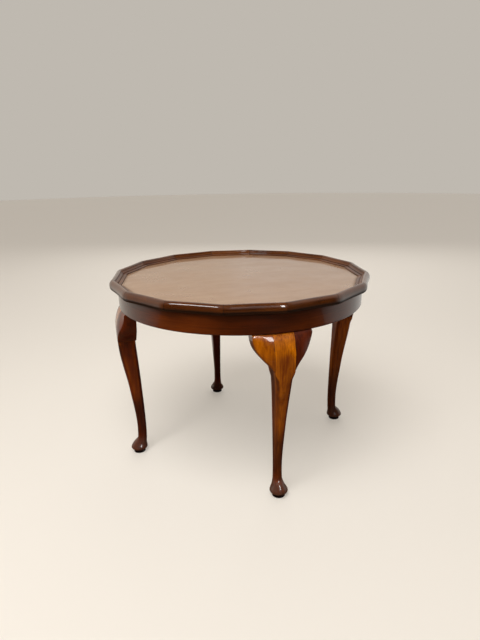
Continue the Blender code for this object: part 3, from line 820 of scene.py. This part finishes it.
def leg_sections(stations, heights):
    """Outer radius, inner radius, width and roundness at many heights, on curves that overshoot no station.

    Each stretch is a cubic. Its slope at a station is the harmonic mean of the slopes of the two stretches
    beside it, or level where they run opposite ways.
    """
    levels, values = stations[:, 0], stations[:, 1:]
    rises = np.diff(levels)[:, None]
    slopes = np.diff(values, axis=0) / rises
    same_way = slopes[:-1] * slopes[1:] > 0
    total = np.where(same_way, slopes[:-1] + slopes[1:], 1.0)
    inner = np.where(same_way, 2 * slopes[:-1] * slopes[1:] / total, 0.0)
    tangents = np.vstack([slopes[:1], inner, slopes[-1:]])
    heights = np.asarray(heights, dtype=float)
    level = np.minimum(heights.ravel(), levels[-1])
    here = np.clip(np.searchsorted(levels, level) - 1, 0, len(rises) - 1)
    rise = rises[here]
    share = (level[:, None] - levels[here][:, None]) / rise
    keep = 1 - share
    found = (values[here] * keep**2 * (1 + 2 * share) + values[here + 1] * share**2 * (1 + 2 * keep)
             + rise * share * keep * (tangents[here] * keep - tangents[here + 1] * share))
    return found.reshape(*heights.shape, 4)


def rounded_rectangle(half_width, half_depth, radius):
    """Points round a rectangle with round corners, one row for each set of sizes.

    Each corner is a quarter circle about a point set in by its radius, and the flats between them are divided
    evenly.
    """
    sizes = (half_width, half_depth, radius)
    half_width, half_depth, radius = (np.asarray(size)[:, None] for size in sizes)
    turn = np.linspace(0, QUARTER_TURN, LEG_CORNER_STEPS + 1)
    corners = []
    for corner, (side_x, side_y) in enumerate(((1, 1), (-1, 1), (-1, -1), (1, -1))):
        angle = corner * QUARTER_TURN + turn
        corners.append(points(side_x * (half_width - radius) + radius * np.cos(angle),
                              side_y * (half_depth - radius) + radius * np.sin(angle)))
    share = np.linspace(0, 1, LEG_FLAT_STEPS + 1)[1:-1, None]
    outline = []
    for here, ahead in zip(corners, corners[1:] + corners[:1]):
        outline += [here, here[:, -1:] * (1 - share) + ahead[:, :1] * share]
    return np.moveaxis(np.hstack(outline), -1, 0)


def leg_finish(settings, number, level, across, facing, sideways):
    """How dark, dirty and rubbed a leg is at each point, with painted shade, highlight and reflection: its
    stain, grime and wear.

    facing runs from -1 inside to 1 outside, and sideways from -1 on the left to 1 on the right.
    """
    leg = settings.leg
    shoulder = apron_low.z - CLEARANCE
    neck = shoulder - settings.ear.drop
    belly = leg.pad_height + leg.belly_rise
    outside = np.clip(facing, 0, 1)
    below_ear = np.clip(neck - level, 0, None)
    near_ear = np.exp(-below_ear / EAR_FADE)
    turn = np.linspace(0, np.pi, LEG_CORNER_STEPS + 1)
    corners = np.tile(np.concatenate([np.sin(turn), np.zeros(LEG_FLAT_STEPS - 1)]), 4)
    shank = fade(level, leg.ankle_height, leg.ankle_height + ANKLE_FADE)
    shank = shank * fade(level, neck + NECK_FADE, neck - NECK_FADE)
    # Painted shade: the leg grows darker towards the floor
    low = fade(level, *DARKER_BELOW)
    # Painted shade: the sides are darker under the ears
    sides = np.clip(1 - np.abs(facing), 0, 1) * (level < neck)
    beside = SIDE_SHADE[number] * sides * np.exp(-below_ear / SIDE_FADE[number])
    # Painted shade along the corners of the shank, darkest under the ears
    corner_shade = SIDE_SHADE[number] * (0.3 + 0.6 * near_ear) * corners * shank
    # Painted shade: the front leg's face darkens towards its right
    lean = FACE_LEAN[number] * outside * sideways * shank
    # Painted highlight: the crown of the knee is made paler, where the polish is also rubbed
    crown = bell(shoulder - level - CROWN_DROP, CROWN_HEIGHT) * outside * bell(across, CROWN_WIDTH)
    # Each leg's darkness, much of it painted shade, grows towards the floor and adds the painted shade beside
    # the ears, along the corners and on the right of the face
    stain = LEG_STAIN_AND_SHADE[number] + (1 - LEG_STAIN_AND_SHADE[number]) * 0.9 * low + 0.9 * beside + corner_shade + lean
    stain = np.clip(stain + LEG_SHADE - 0.08 * crown, 0, 1)
    # Painted shade under the foot, below its widest line
    soles = fade(level, belly, belly - SOLE_FADE)
    # The lower shin is darker, dirt and painted shade
    shin = fade(level, *SHIN_DIRT_AND_SHADE_FOOT) * fade(level, *SHIN_DIRT_AND_SHADE_TOP)
    # Painted shade along the corners just under the ears, and on the sides below them
    under_ear = 0.55 * corners * near_ear * (level < neck + EAR_OVERLAP)
    grime = np.max(np.broadcast_arrays(soles, 0.5 * shin, 0.55 * beside, under_ear), axis=0)
    # Painted reflection: the feet turn greyish. The corners of the shanks are a little rubbed
    feet = fade(level, *FOOT_SHEEN) * (1 - soles)
    return stain, grime, np.maximum(feet, 0.2 * corners * shank)


def leg_mesh(settings, number):
    """A cabriole leg: a rounded rectangle at each height, and above the shoulder a post behind the hoop."""
    leg = settings.leg
    stations = leg_stations(leg, settings.ear)
    shoulder = stations[-1, 0]
    fine = np.linspace(0, shoulder, LEG_RINGS)
    edge = shoulder - leg.roll_height * (1 - np.cos(np.linspace(0, QUARTER_TURN, CORNER_STEPS + 1)))
    heights = np.unique(np.concatenate([fine, stations[:, 0], edge]))
    outer, inner, width, roundness = leg_sections(stations, heights).T
    outer = outer - rolled(shoulder - heights, leg.roll_height, leg.roll_depth)
    half_depth = (outer - inner) / 2
    radius = roundness * np.minimum(half_depth, width / 2)
    across, along = rounded_rectangle(width / 2, half_depth, radius)
    outwards = (outer + inner)[:, None] / 2 + along
    facing = np.vstack([along / half_depth[:, None], np.full((2, along.shape[1]), -1.0)])
    sideways = np.vstack([across / (width / 2)[:, None], np.zeros((2, across.shape[1]))])
    post_limit = np.sqrt((apron_high.x - APRON_THICKNESS - CLEARANCE) ** 2 - across[-1] ** 2)
    post = np.minimum(outwards[-1], post_limit)
    across = np.vstack([across, across[-1], across[-1]])
    outwards = np.vstack([outwards, post, post])
    level = np.append(heights, [shoulder, apron_high.z])[:, None]
    grid = turned(points(across, -outwards, level), number * QUARTER_TURN)
    board = points(level, across, outwards) + number * LEG_STEP
    finish = leg_finish(settings, number, level, across, facing, sideways)
    return skin(f"cabriole_leg_{LEG_NAMES[number]}", grid, board, *finish, dull=facing[:-1] < INNER_FACE)


def ear_mesh(settings, number, hand):
    """A knee ear: upright sections across the leg, from the glue line out to the nose.

    The sawn lower edge is a Bezier curve. Each section runs down the swelling face, round the arris, in along
    the sawn edge and up the back. The face keeps the knee's curve at the leg and dies out to the apron's line
    at the nose, and everything follows the hoop's bend.
    """
    leg, ear = settings.leg, settings.ear
    side = HANDS[hand]
    stations = leg_stations(leg, ear)
    shoulder = stations[-1, 0]
    start = leg.post_width / 2 + CLEARANCE
    t = np.linspace(0, 1, EAR_ROWS)
    weights = np.stack([(1 - t) ** 3, 3 * t * (1 - t) ** 2, 3 * t**2 * (1 - t), t**3], axis=-1)
    reach = (weights @ (np.array([0.0, *EAR_REACH_HANDLES, 1.0]) * ear.reach))[:, None]
    handles = np.array(EAR_DROP_HANDLES) * ear.drop
    drop = (weights @ np.array([ear.drop, *handles, ear.nose_height]))[:, None]
    share = reach / ear.reach
    across = start + reach
    bend = (across**2 - start**2) / (2 * apron_high.x)
    # Both rounds shrink where the ear is low
    grown = 1 - (1 - np.clip(3 * share, 0, 1)) ** 2
    arris = np.minimum(ear.arris + (ear.nose_arris - ear.arris) * grown, 0.4 * drop)
    roll = np.minimum(leg.roll_height, 0.6 * drop)
    turn = np.linspace(0, QUARTER_TURN, CORNER_STEPS + 1)
    down = np.linspace(0, 1, EAR_FACE_ROWS)[1:]
    face_drop = np.hstack([roll * (1 - np.cos(turn)), roll + (drop - arris - roll) * down])
    face_height = shoulder - face_drop
    knee = leg_sections(stations, face_height)[..., 0]
    flush = apron_high.x + leg.shoulder_reach
    face_out = flush + (knee - flush) * (1 - share**2) - bend - rolled(face_drop, roll, leg.roll_depth)
    bottom = shoulder - drop
    back = apron_high.x + leg.knee_reach - leg.knee_depth + ear.nose_taper * share**2 - bend
    fall = 1 - np.sin(turn[1:])
    swing = 1 - np.cos(turn[1:])
    inner = np.hstack([back + ear.arris, back + ear.arris * fall, back])
    outwards = np.hstack([face_out, face_out[:, -1:] - arris * swing, inner])
    level = np.hstack([face_height, bottom + arris * fall, bottom, bottom + ear.arris * swing,
                       np.full_like(back, shoulder)])
    grid = turned(points(side * across, -outwards, level), number * QUARTER_TURN)
    board = points(level, across, outwards) + number * EAR_STEP + side * EAR_SIDE_STEP
    column = np.arange(outwards.shape[1])[None]
    face_end = face_out.shape[1]
    # Painted shade: the sawn lower edge and the back are darker
    sawn = fade(column, face_end + 2, face_end + CORNER_STEPS - 1)
    stain = np.clip(LEG_STAIN_AND_SHADE[number] + EAR_STAIN_AND_SHADE[hand] + 0.8 * sawn, 0, 1)
    dirt = SHUT_DIRT
    darkened_ear = 0.0
    if LEG_NAMES[number] == "front":
        # The glue has let go a little beside the front knee, and dirt has found the gap
        dirt = np.exp(-((level - CRACK_HEIGHT) / CRACK_REACH) ** 4) if hand == "left" else SHUT_DIRT
        # The front right ear is darker all over, dirt and painted shade
        darkened_ear = FRONT_EAR_DIRT_AND_SHADE if hand == "right" else 0.0
    grime = np.clip(bell(reach, GLUE_LINE) * dirt + 0.2 * sawn + darkened_ear, 0, 1)
    name = f"knee_ear_{LEG_NAMES[number]}_{hand}_polished"
    return skin(name, grid, board, stain, grime, dull=column > face_end + CORNER_STEPS)


def block_mesh(settings, number, hand):
    """A glue block: its plan, an arc against the hoop and straight sides, drawn in at top and bottom."""
    side = HANDS[hand]
    start = settings.leg.post_width / 2 + CLEARANCE
    end = start + BLOCK_LENGTH
    hoop = apron_high.x - APRON_THICKNESS - CLEARANCE
    across = np.linspace(start, end, BLOCK_STEPS)
    front = -np.sqrt(hoop**2 - across**2)
    back = front[-1] + BLOCK_DEPTH
    plan = points(np.append(across, [end, start]), np.append(front, [back, back]))
    middle = plan.mean(axis=0)
    drawn_in = middle + (plan - middle) * (1 - BLOCK_CHAMFER / np.array([BLOCK_LENGTH / 2, BLOCK_HALF_DEPTH]))
    levels = (block_low.z, block_low.z + BLOCK_CHAMFER, block_high.z - BLOCK_CHAMFER, block_high.z)
    rings = np.array([points(side * x, y, level)
                      for (x, y), level in zip((drawn_in.T, plan.T, plan.T, drawn_in.T), levels)])
    grid = turned(rings, number * QUARTER_TURN)
    board = rings + number * BLOCK_STEP + side * BLOCK_SIDE_STEP
    return skin(f"beech_block_{LEG_NAMES[number]}_{hand}", grid, board)


def screw_mesh(name, head, direction, screw_length):
    """A slotted countersunk wood screw: its head's edge, cone, shank and point, as rings about its axis.

    The head's face is made of strips across the slot. Each strip ends on the cone, so its half width is the
    root of the cone's radius squared less the strip's own offset squared. Strips in the slot lie deeper.
    """
    head_radius = 0.0042
    head_height = 0.0026
    head_edge = 0.00005
    shank_radius = 0.0021
    tip_radius = 0.0002
    tip_length = 0.004
    slot_half = 0.0005
    slot_depth = 0.0010
    side = head_radius * np.sin(np.radians(np.linspace(12, 82, 7)))
    offset = np.concatenate([-side[::-1], [-slot_half, -slot_half, slot_half, slot_half], side])
    depth = np.zeros(len(offset))
    depth[len(side) + 1:len(side) + 3] = slot_depth

    def loop(extra):
        reach = depth + extra
        cone = head_radius - reach * (head_radius - shank_radius) / head_height
        half = np.sqrt(cone**2 - np.minimum(np.abs(offset), 0.995 * cone) ** 2)
        down = points(-half, offset, reach)
        return np.vstack([down, (down * np.array([-1, 1, 1]))[::-1]])

    first = loop(0.0)
    angle = np.arctan2(first[:, 1], first[:, 0])
    rings = [first, loop(head_edge)]
    for radius, reach in (
        (shank_radius, head_height),
        (shank_radius, screw_length - tip_length),
        (tip_radius, screw_length),
    ):
        rings.append(points(radius * np.cos(angle), radius * np.sin(angle), reach))
    turn = Vector((0, 0, -1)).rotation_difference(Vector(direction)).to_matrix()
    grid = np.array(rings) * np.array([1, 1, -1]) @ np.array(turn).T + np.array(head)
    last = len(first) - 1
    strips = [[row, last - row, last - row - 1, row + 1] for row in range(len(offset) - 1)]
    return skin(name, grid, grid, first_end=strips)


# Operators

class TABLE_OT_dished_top(bpy.types.Operator):
    """Makes the dished top"""

    bl_idname = "table.dished_top"
    bl_label = "Dished top"

    def execute(self, context):
        settings = context.scene.coffee_table
        place_piece(panel_mesh(settings.rim), walnut_for("top", settings), "top_walnut", "top_panel")
        return {"FINISHED"}


class TABLE_OT_scalloped_rim(bpy.types.Operator):
    """Makes the mitred lengths of the scalloped rim"""

    bl_idname = "table.scalloped_rim"
    bl_label = "Scalloped rim"

    def execute(self, context):
        settings = context.scene.coffee_table
        for number in range(SCALLOPS):
            mesh = rim_mesh(settings.rim, number)
            place_piece(mesh, walnut_for("rim", settings), "rim_walnut", f"rim_moulding_{number + 1:02d}")
        return {"FINISHED"}


class TABLE_OT_apron(bpy.types.Operator):
    """Makes the bent apron hoop"""

    bl_idname = "table.apron"
    bl_label = "Apron hoop"

    def execute(self, context):
        settings = context.scene.coffee_table
        place_piece(apron_mesh(), walnut_for("apron", settings), "apron_walnut", "apron_hoop")
        return {"FINISHED"}


class TABLE_OT_legs(bpy.types.Operator):
    """Makes the cabriole legs"""

    bl_idname = "table.legs"
    bl_label = "Cabriole legs"

    def execute(self, context):
        settings = context.scene.coffee_table
        for number, place in enumerate(LEG_NAMES):
            place_piece(leg_mesh(settings, number), walnut_for("leg", settings), "leg_walnut", f"leg_{place}")
        return {"FINISHED"}


class TABLE_OT_ears(bpy.types.Operator):
    """Makes the ears beside the knees"""

    bl_idname = "table.ears"
    bl_label = "Knee ears"

    def execute(self, context):
        settings = context.scene.coffee_table
        for number, place in enumerate(LEG_NAMES):
            for hand in HANDS:
                mesh = ear_mesh(settings, number, hand)
                place_piece(mesh, walnut_for("leg", settings), "leg_walnut", f"knee_ear_{place}_{hand}")
        return {"FINISHED"}


class TABLE_OT_fittings(bpy.types.Operator):
    """Makes the glue blocks and screws under the top"""

    bl_idname = "table.fittings"
    bl_label = "Glue blocks and screws"

    def execute(self, context):
        settings = context.scene.coffee_table
        beech = np.array(settings.colours.beech)
        fleck = beech * BEECH_FLECK
        block_finish = [shared_material("raw sawn beech", raw_wood, beech, fleck, *BEECH_FLECK_MM)]
        screw_finish = [shared_material("plain drawn steel", plain_steel, settings.colours.steel)]
        for number, place in enumerate(LEG_NAMES):
            for hand in HANDS:
                block = block_mesh(settings, number, hand)
                place_piece(block, block_finish, "block_beech", f"glue_block_{place}_{hand}")
                node = f"block_screw_{place}_{hand}"
                low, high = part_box(node)
                head = ((low.x + high.x) / 2, (low.y + high.y) / 2, low.z - HEAD_PROUD)
                mesh = screw_mesh(f"{node}_slotted", head, (0, 0, 1), high.z - low.z)
                place_piece(mesh, screw_finish, "screw_steel", node)
            out = Vector((np.sin(number * QUARTER_TURN), -np.cos(number * QUARTER_TURN), 0))
            for level in ("lower", "upper"):
                node = f"post_screw_{place}_{level}"
                low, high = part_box(node)
                middle = (low + high) / 2
                reach = [corner.dot(out) for corner in (low, high)]
                head = out * (min(reach) - HEAD_PROUD) + Vector((0, 0, middle.z))
                mesh = screw_mesh(f"{node}_slotted", head, out, max(reach) - min(reach))
                place_piece(mesh, screw_finish, "screw_steel", node)
        return {"FINISHED"}


class TABLE_OT_stage(bpy.types.Operator):
    """Makes the floor, the light and the camera"""

    bl_idname = "table.stage"
    bl_label = "Stage"

    def execute(self, context):
        stage = context.scene.coffee_table.stage
        add_floors(context, stage)
        add_backdrop(context, stage)
        add_surround(context, stage)
        add_lamps(context, stage)
        add_camera(context, stage)
        return {"FINISHED"}


class TABLE_PT_panel(bpy.types.Panel):
    """Lists the table's makers"""

    bl_idname = "TABLE_PT_panel"
    bl_label = "Scalloped coffee table"
    bl_space_type = "VIEW_3D"
    bl_region_type = "UI"
    bl_category = "Table"

    def draw(self, context):
        for operator in OPERATORS:
            self.layout.operator(operator.bl_idname)


# Stage

def add_surface(context, name, corners, faces, hidden_from, inputs):
    """A surface of the stage, which the named kinds of ray pass through."""
    mesh = bpy.data.meshes.new(name)
    mesh.from_pydata(corners, [], faces)
    surface = bpy.data.objects.new(name, mesh)
    context.scene.collection.objects.link(surface)
    material, tree, shader = new_material(name.replace("_", " "))
    set_inputs(tree, shader, inputs)
    mesh.materials.append(material)
    for ray in hidden_from:
        setattr(surface, f"visible_{ray}", False)


def add_floors(context, stage):
    """A wide, pale, dull floor for the eye, and just under it a brown card that only the polish mirrors."""
    dull = {"Roughness": 0.6, "Specular IOR Level": 0.2}
    # A faint glow keeps the floor pale far from the lamps
    rgb = opaque(stage.floor)
    pale = {**dull, "Base Color": rgb, "Emission Color": rgb, "Emission Strength": 0.6}
    square = [(x * FLOOR_HALF, y * FLOOR_HALF, 0) for x, y in ((-1, -1), (1, -1), (1, 1), (-1, 1))]
    add_surface(context, "pale_floor", square, [range(len(square))], ("shadow", "glossy", "diffuse"), pale)
    # The card comes to a corner behind the table
    turn = Matrix.Rotation(stage.bearing, 3, "Z")
    corners = [turn @ Vector((x, y, CARD_HEIGHT)) for x, y in CARD_CORNERS]
    brown = {**dull, "Base Color": opaque(stage.card)}
    add_surface(context, "brown_floor", corners, [range(len(corners))], ("shadow", "camera"), brown)


def add_backdrop(context, stage):
    """A plain pale ground all round, far off, that only the eye sees."""
    angle = np.linspace(0, 2 * np.pi, BACKDROP_SIDES, endpoint=False)
    corners = np.vstack([round_axis(BACKDROP_REACH, angle, level) for level in BACKDROP_LEVELS])
    here = np.arange(BACKDROP_SIDES)
    ahead = np.roll(here, -1)
    faces = np.stack([here, here + BACKDROP_SIDES, ahead + BACKDROP_SIDES, ahead], axis=-1)
    add_surface(context, "pale_backdrop", corners.tolist(), faces.tolist(),
                ("diffuse", "glossy", "transmission", "shadow"), {
                    "Base Color": opaque((0.0, 0.0, 0.0)),
                    "Specular IOR Level": 0.0,
                    "Emission Color": opaque(stage.backdrop),
                    "Emission Strength": 1.0,
                })


def add_surround(context, stage):
    """Light from all round: pale behind the table on the left and right, and dim in front of it and above.

    Each next colour takes over, by a smooth step, where a direction points far enough along its axis.
    """
    world = bpy.data.worlds.new("studio light")
    world.use_nodes = True
    tree = world.node_tree
    direction = add_node(tree, "ShaderNodeTexCoord").outputs["Generated"]
    right = (np.cos(stage.bearing), np.sin(stage.bearing), 0.0)
    front = (np.sin(stage.bearing), -np.cos(stage.bearing), 0.0)
    light = opaque(stage.back_left)
    for next_light, axis, none, full in (
        (stage.back_right, right, -0.04, 0.0),
        (stage.front, front, -0.15, 0.45),
        (stage.overhead, (0.0, 0.0, 1.0), 0.75, 0.95),
    ):
        part = add_node(tree, "ShaderNodeVectorMath", {"operation": "DOT_PRODUCT"}, {0: direction, 1: axis})
        share = add_node(tree, "ShaderNodeMapRange", {"interpolation_type": "SMOOTHSTEP"},
                         {"Value": part.outputs["Value"], "From Min": none, "From Max": full})
        mix = add_node(tree, "ShaderNodeMix", {"data_type": "RGBA"},
                       {"Factor": share.outputs["Result"], MIX_FIRST: light, MIX_SECOND: opaque(next_light)})
        light = mix.outputs[MIX_RESULT]
    tree.links.new(light, tree.nodes["Background"].inputs["Color"])
    context.scene.world = world


def add_lamps(context, stage):
    """A broad soft lamp, low fills beside it and behind, and two lamps that only glint on the polish.

    Places are as seen from the camera: to the right, away and up. All the lamps face the table.
    """
    turn = Matrix.Rotation(stage.bearing, 3, "Z")
    table_middle = Vector((0.0, 0.0, 0.4))
    for name, place, size, watts in (
        ("soft_lamp", (-0.45, -1.15, 2.3), (1.6, 1.6), 64.0),
        ("soft_fill", (-1.5, -1.8, 1.0), (1.0, 1.0), 4.5),
        ("soft_back", (0.2, 2.8, 1.7), (3.0, 1.6), 30.0),
        ("left_glint", (-1.32, -1.28, 2.4), (0.45, 0.45), 7.5),
        ("front_glint", (1.13, -2.66, 2.4), (0.6, 1.5), 42.0),
    ):
        lamp = bpy.data.lights.new(name, "AREA")
        lamp.shape = "RECTANGLE"
        lamp.size, lamp.size_y = size
        lamp.energy = watts
        light = bpy.data.objects.new(name, lamp)
        light.location = turn @ Vector(place)
        light.rotation_euler = (table_middle - light.location).to_track_quat("-Z", "Y").to_euler()
        light.visible_camera = False
        soft = name.startswith("soft")
        light.visible_glossy = not soft
        light.visible_diffuse = soft
        context.scene.collection.objects.link(light)


def add_camera(context, stage):
    """A camera that looks at the table from in front and above, a little to the left of the front leg."""
    yaw, pitch, roll = stage.yaw, stage.pitch, stage.roll
    ahead = Vector((np.sin(yaw) * np.cos(pitch), np.cos(yaw) * np.cos(pitch), -np.sin(pitch)))
    right = Vector((np.cos(yaw), -np.sin(yaw), 0.0))
    down = ahead.cross(right)
    rolled_right = right * np.cos(roll) + down * np.sin(roll)
    rolled_down = down * np.cos(roll) - right * np.sin(roll)
    pose = Matrix((rolled_right, -rolled_down, -ahead)).transposed().to_4x4()
    pose.translation = (0.0, -stage.camera_distance, stage.camera_height)
    camera = bpy.data.objects.new("camera", bpy.data.cameras.new("camera"))
    camera.data.lens = stage.lens
    camera.data.sensor_width = 36.0
    camera.matrix_world = Matrix.Rotation(stage.bearing, 4, "Z") @ pose
    context.scene.collection.objects.link(camera)
    context.scene.camera = camera
    context.scene.view_settings.view_transform = "Standard"


GROUPS = (RimSizes, LegSizes, EarSizes, WalnutColours, StageSettings, TableSettings)
OPERATORS = (TABLE_OT_dished_top, TABLE_OT_scalloped_rim, TABLE_OT_apron, TABLE_OT_legs, TABLE_OT_ears,
             TABLE_OT_fittings, TABLE_OT_stage)


def register():
    for item in (*GROUPS, *OPERATORS, TABLE_PT_panel):
        bpy.utils.register_class(item)
    bpy.types.Scene.coffee_table = PointerProperty(type=TableSettings)


def unregister():
    del bpy.types.Scene.coffee_table
    for item in reversed((*GROUPS, *OPERATORS, TABLE_PT_panel)):
        bpy.utils.unregister_class(item)


def main():
    """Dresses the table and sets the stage."""
    register()
    bpy.ops.table.dished_top()
    bpy.ops.table.scalloped_rim()
    bpy.ops.table.apron()
    bpy.ops.table.legs()
    bpy.ops.table.ears()
    bpy.ops.table.fittings()
    bpy.ops.table.stage()


if __name__ == "__main__":
    main()
